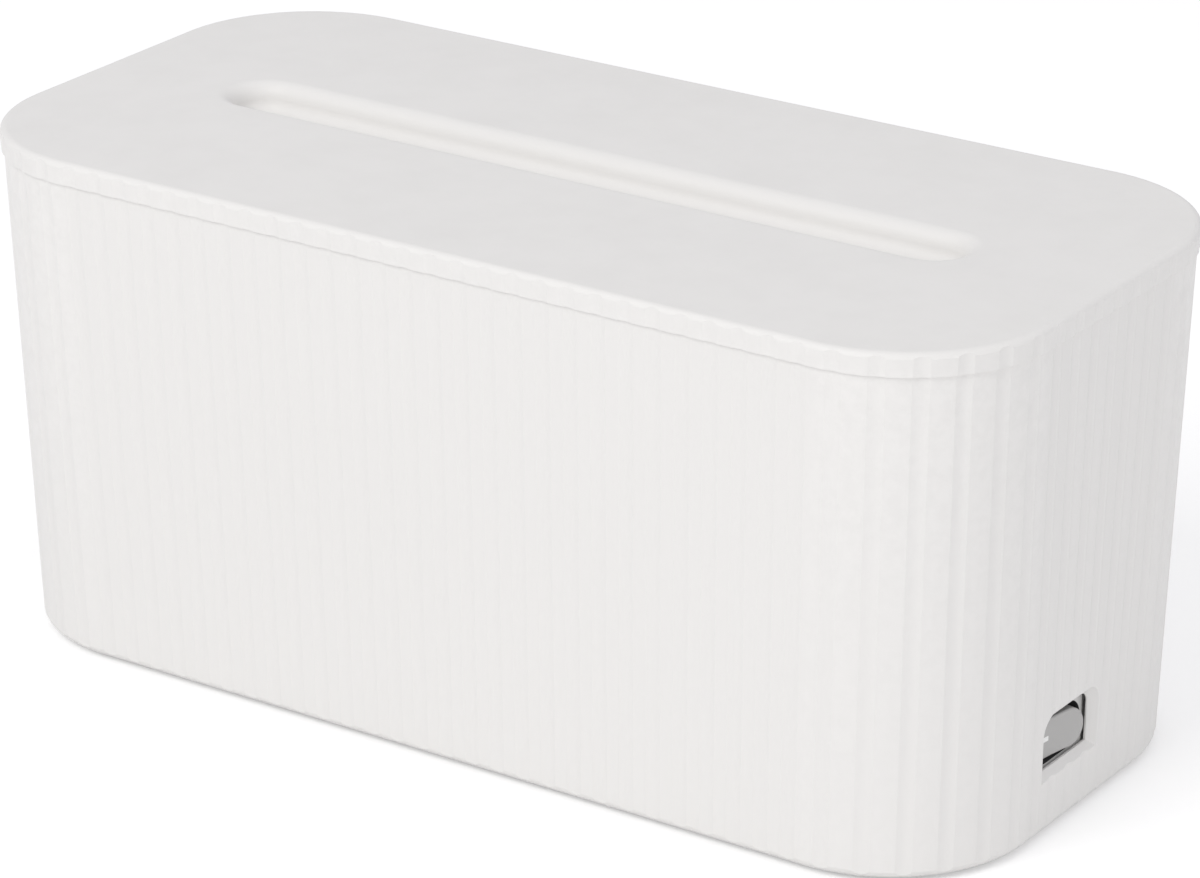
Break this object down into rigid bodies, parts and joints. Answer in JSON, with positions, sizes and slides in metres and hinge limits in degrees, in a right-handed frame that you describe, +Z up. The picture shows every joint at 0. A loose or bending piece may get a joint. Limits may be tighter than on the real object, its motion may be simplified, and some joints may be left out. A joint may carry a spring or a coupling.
{
  "type": "cable management box",
  "caption": "Fluted plastic box with a channelled lift-off lid that hides cables, with a socket strip built in and its rocker switch behind a window in the end wall",
  "frame": {"origin": "middle of the surface that the box stands on, under the middle of the box", "axes": "+X along the box towards the end wall with the switch window, +Y to the back, +Z up"},
  "size_m": [0.3072, 0.1458, 0.14],
  "materials": {
    "shell": "fine satin moulding, warm white",
    "foot": "matt",
    "strip": "satin",
    "socket": "satin",
    "screw": "zinc plated",
    "contact": "stamped",
    "pin": "nickel plated",
    "switch_case": "fine texture",
    "rocker": "satin",
    "mark": "flush inlay",
    "plunger": "slick",
    "spring": "wound wire"
  },
  "bodies": {
    "base": {"tub": "shell", "foot_front_left": "foot", "foot_front_right": "foot", "foot_rear_left": "foot", "foot_rear_right": "foot", "strip_base": "strip", "strip_cover": "strip", "case_screws": "screw", "mount_screws": "screw", "socket_1": "socket", "socket_2": "socket", "socket_3": "socket", "socket_4": "socket", "neutral_bar": "contact", "line_bar": "contact", "line_link": "contact", "earth_bar": "contact", "switch_housing": "switch_case", "switch_common_terminal": "contact", "switch_load_terminal": "contact", "inlet_housing": "switch_case", "inlet_line_pin": "pin", "inlet_neutral_pin": "pin", "inlet_earth_pin": "pin"},
    "lid": {"lid": "shell"},
    "rocker": {"rocker": "rocker", "rocker_mark": "mark", "rocker_plunger": "plunger", "rocker_spring": "spring"},
    "seesaw": {"contact_blade": "contact"}
  },
  "joints": [
    {"name": "lid_lift", "type": "slide", "parent": "base", "child": "lid", "axis": [0, 0, 1], "range_m": [0, 0.16]},
    {"name": "rocker_tilt", "type": "hinge", "parent": "base", "child": "rocker", "pos_m": [0.141, -0.0087, 0.02365], "axis": [0, 0, 1], "range_deg": [0, 20]},
    {"name": "seesaw_tilt", "type": "hinge", "parent": "base", "child": "seesaw", "pos_m": [0.1316, -0.0087, 0.02365], "axis": [0, 0, 1], "range_deg": [-10, 0]}
  ],
  "couplings": [
    {"joint": "seesaw_tilt", "follows": "rocker_tilt", "ratio": -0.5}
  ]
}
